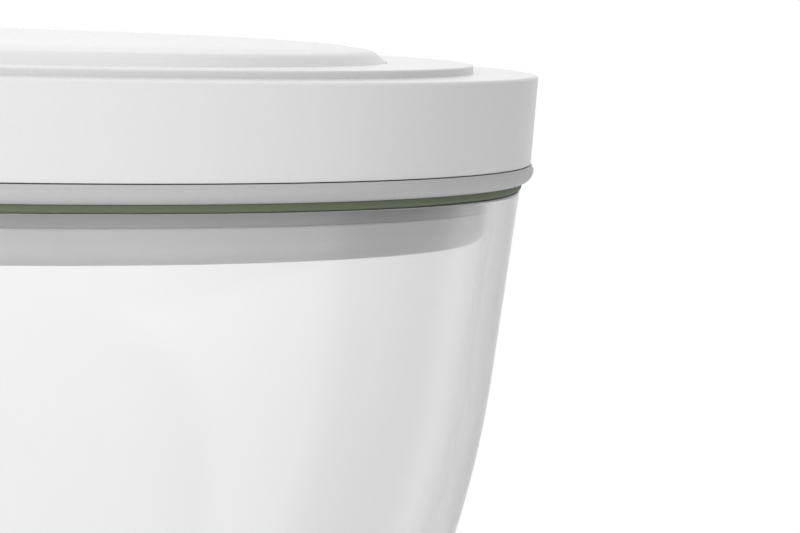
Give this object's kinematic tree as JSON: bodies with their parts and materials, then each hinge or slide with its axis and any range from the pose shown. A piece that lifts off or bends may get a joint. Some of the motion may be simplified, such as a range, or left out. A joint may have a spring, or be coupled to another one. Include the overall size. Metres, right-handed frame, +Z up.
{
  "type": "vacuum food canister",
  "caption": "Clear tapered food canister with a white twist-pump lid, grey sealing flange, green gasket and a press button that lets the air back in.",
  "frame": {"origin": "centre of the jar's foot, on the surface it stands on", "axes": "+Z up along the common axis of jar, lid and pump; +X towards the inlet valve"},
  "size_m": [0.16, 0.16, 0.0992],
  "materials": {
    "clear_plastic": "clear, polished",
    "white_plastic": "satin, moulded",
    "grey_plastic": "satin, moulded",
    "pale_grey_plastic": "satin, moulded",
    "green_silicone": "matt, moulded",
    "clear_silicone": "translucent, moulded",
    "acetal": "slippery, moulded",
    "pump_plastic": "moulded",
    "steel": "drawn stainless wire and screws"
  },
  "bodies": {
    "jar": {"jar": "clear_plastic"},
    "lid": {"inner_lid": "grey_plastic", "plug_tray": "pale_grey_plastic", "lid_gasket": "green_silicone", "glide_ring": "acetal", "pump_cylinder": "pump_plastic", "cylinder_seal": "clear_silicone", "cylinder_screws": "steel", "valve_guard": "pale_grey_plastic", "release_spring": "steel"},
    "cap": {"lid_cover": "white_plastic", "top_dome": "white_plastic", "cam_sleeve": "acetal", "cam_screws": "steel"},
    "piston": {"pump_piston": "pump_plastic", "piston_seal": "clear_silicone", "tower_seal": "clear_silicone", "follower_pins": "acetal"},
    "inlet_valve": {"inlet_valve": "clear_silicone"},
    "exhaust_valve": {"exhaust_valve": "clear_silicone"},
    "release": {"release_button": "white_plastic", "release_stem": "steel", "release_poppet": "acetal", "release_seal": "green_silicone"}
  },
  "joints": [
    {"name": "lid_lift", "type": "slide", "parent": "jar", "child": "lid", "axis": [0, 0, 1], "range_m": [0, 0.1]},
    {"name": "cap_twist", "type": "hinge", "parent": "lid", "child": "cap", "pos_m": [0, 0, 0.09], "axis": [0, 0, -1], "range_deg": [0, 60]},
    {"name": "piston_lift", "type": "slide", "parent": "lid", "child": "piston", "axis": [0, 0, 1], "range_m": [0, 0.004]},
    {"name": "inlet_valve_lift", "type": "slide", "parent": "lid", "child": "inlet_valve", "axis": [0, 0, 1], "range_m": [0, 0.0006]},
    {"name": "exhaust_valve_lift", "type": "slide", "parent": "piston", "child": "exhaust_valve", "axis": [0, 0, 1], "range_m": [0, 0.0006]},
    {"name": "release_press", "type": "slide", "parent": "lid", "child": "release", "axis": [0, 0, -1], "range_m": [0, 0.0025], "stiffness_N_per_m": 400, "springref_m": -0.006, "deforming": ["release_spring"]}
  ],
  "couplings": [
    {"joint": "piston_lift", "follows": "cap_twist", "m_per_rad": 0.0038197}
  ]
}
